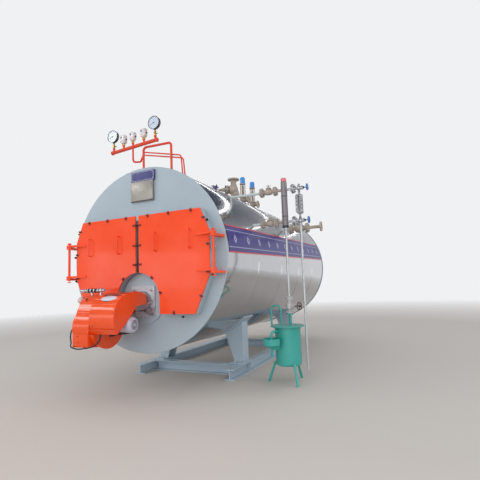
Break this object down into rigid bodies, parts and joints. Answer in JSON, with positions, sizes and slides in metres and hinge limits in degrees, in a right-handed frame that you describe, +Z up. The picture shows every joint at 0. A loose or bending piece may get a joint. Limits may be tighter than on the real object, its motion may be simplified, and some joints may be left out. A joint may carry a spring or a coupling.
{
  "type": "horizontal fire-tube boiler",
  "caption": "Horizontal fire-tube steam boiler on a beam base, with hinged smokebox doors, fan burner, gauge header, steam and safety valves, level gauge, feed line and sampling vessel.",
  "frame": {"origin": "on the floor, at the middle of the front cross beam's underside", "axes": "+Z up, +Y along the shell to the rear, +X to the right seen from the front"},
  "size_m": [2.7308, 5.268, 3.1518],
  "materials": {
    "base_paint": "satin paint",
    "plate_paint": "satin paint",
    "polished_cladding": "mirror-polished stainless sheet",
    "sooty_steel": "dark heated steel",
    "door_paint": "gloss paint",
    "burner_paint": "gloss stove enamel",
    "bright_metal": "bright zinc",
    "cast_aluminium": "as cast",
    "motor_paint": "smooth paint",
    "cable_rubber": "matt",
    "bracket_black": "satin paint",
    "brass": "turned",
    "cap_blue": "gloss paint",
    "cap_pink": "gloss paint",
    "blue_enamel": "gloss enamel",
    "brushed_sheet": "brushed",
    "pipe_paint": "gloss paint",
    "gauge_case": "black enamel",
    "switch_plastic": "matt",
    "cast_iron": "weathered primer",
    "wheel_red": "worn paint",
    "wheel_blue": "gloss paint",
    "column_paint": "gloss paint",
    "pipe_steel": "galvanised",
    "vessel_paint": "gloss paint"
  },
  "bodies": {
    "boiler": {"base_rails": "base_paint", "base_cross_beams": "base_paint", "saddle_front": "base_paint", "saddle_rear": "base_paint", "shell": "polished_cladding", "front_plate": "plate_paint", "rear_plate": "plate_paint", "rear_access_cover": "plate_paint", "flue_outlet": "plate_paint", "tube_plate": "sooty_steel", "furnace_mouth": "sooty_steel", "door_frame": "plate_paint", "hinge_brackets": "door_paint", "burner_plate": "plate_paint", "burner_flange": "bright_metal", "burner_neck": "cast_aluminium", "burner_hood": "burner_paint", "burner_fan_casing": "burner_paint", "burner_motor": "motor_paint", "motor_bracket": "bracket_black", "burner_gas_fittings": "bright_metal", "burner_cable": "cable_rubber", "nameplate": "blue_enamel", "data_plate_box": "brushed_sheet", "gauge_header": "pipe_paint", "header_pipework": "pipe_paint", "header_siphon": "pipe_paint", "impulse_tubes": "pipe_paint", "pressure_gauges": "gauge_case", "gauge_cocks": "brass", "pressure_switches": "switch_plastic", "steam_valve": "cast_iron", "safety_valves": "cast_iron", "safety_valve_caps": "cap_blue", "top_nozzle": "blue_enamel", "level_pipe_upper": "cast_iron", "level_pipe_lower": "cast_iron", "level_column": "column_paint", "column_cap": "cap_pink", "gauge_glass": "bright_metal", "gauge_drain": "pipe_steel", "column_drain": "pipe_steel", "feed_line": "cast_iron", "vessel_drum": "vessel_paint", "vessel_lid": "vessel_paint", "vessel_legs": "vessel_paint", "vessel_tundish": "vessel_paint", "vessel_valve": "cast_iron"},
    "left_door": {"door_left": "door_paint", "hinge_arms_left": "door_paint"},
    "right_door": {"door_right": "door_paint", "hinge_arms_right": "door_paint"},
    "steam_wheel": {"steam_handwheel": "wheel_red"},
    "upper_gauge_wheel": {"gauge_handwheel_upper": "wheel_blue"},
    "lower_gauge_wheel": {"gauge_handwheel_lower": "wheel_blue"},
    "sampling_wheel": {"vessel_handwheel": "wheel_red"}
  },
  "joints": [
    {"name": "right_door_hinge", "type": "hinge", "parent": "boiler", "child": "right_door", "pos_m": [0.978, -1.21, 1.464], "axis": [0, 0, 1], "range_deg": [0, 150]},
    {"name": "left_door_hinge", "type": "hinge", "parent": "boiler", "child": "left_door", "pos_m": [-0.978, -1.21, 1.464], "axis": [0, 0, -1], "range_deg": [0, 4]},
    {"name": "steam_wheel_turn", "type": "hinge", "parent": "boiler", "child": "steam_wheel", "pos_m": [-0.25725, 1.26865, 2.7975], "axis": [-0.8575, -0.5145, 0], "range_deg": [0, 1620]},
    {"name": "upper_gauge_wheel_turn", "type": "hinge", "parent": "boiler", "child": "upper_gauge_wheel", "pos_m": [1.67, -0.088, 2.269], "axis": [1, 0, 0], "range_deg": [0, 900]},
    {"name": "lower_gauge_wheel_turn", "type": "hinge", "parent": "boiler", "child": "lower_gauge_wheel", "pos_m": [1.67, -0.088, 1.872], "axis": [1, 0, 0], "range_deg": [0, 900]},
    {"name": "sampling_wheel_turn", "type": "hinge", "parent": "boiler", "child": "sampling_wheel", "pos_m": [1.38, -0.088, 0.857], "axis": [0.9404, -0.3401, 0], "range_deg": [0, 900]}
  ]
}
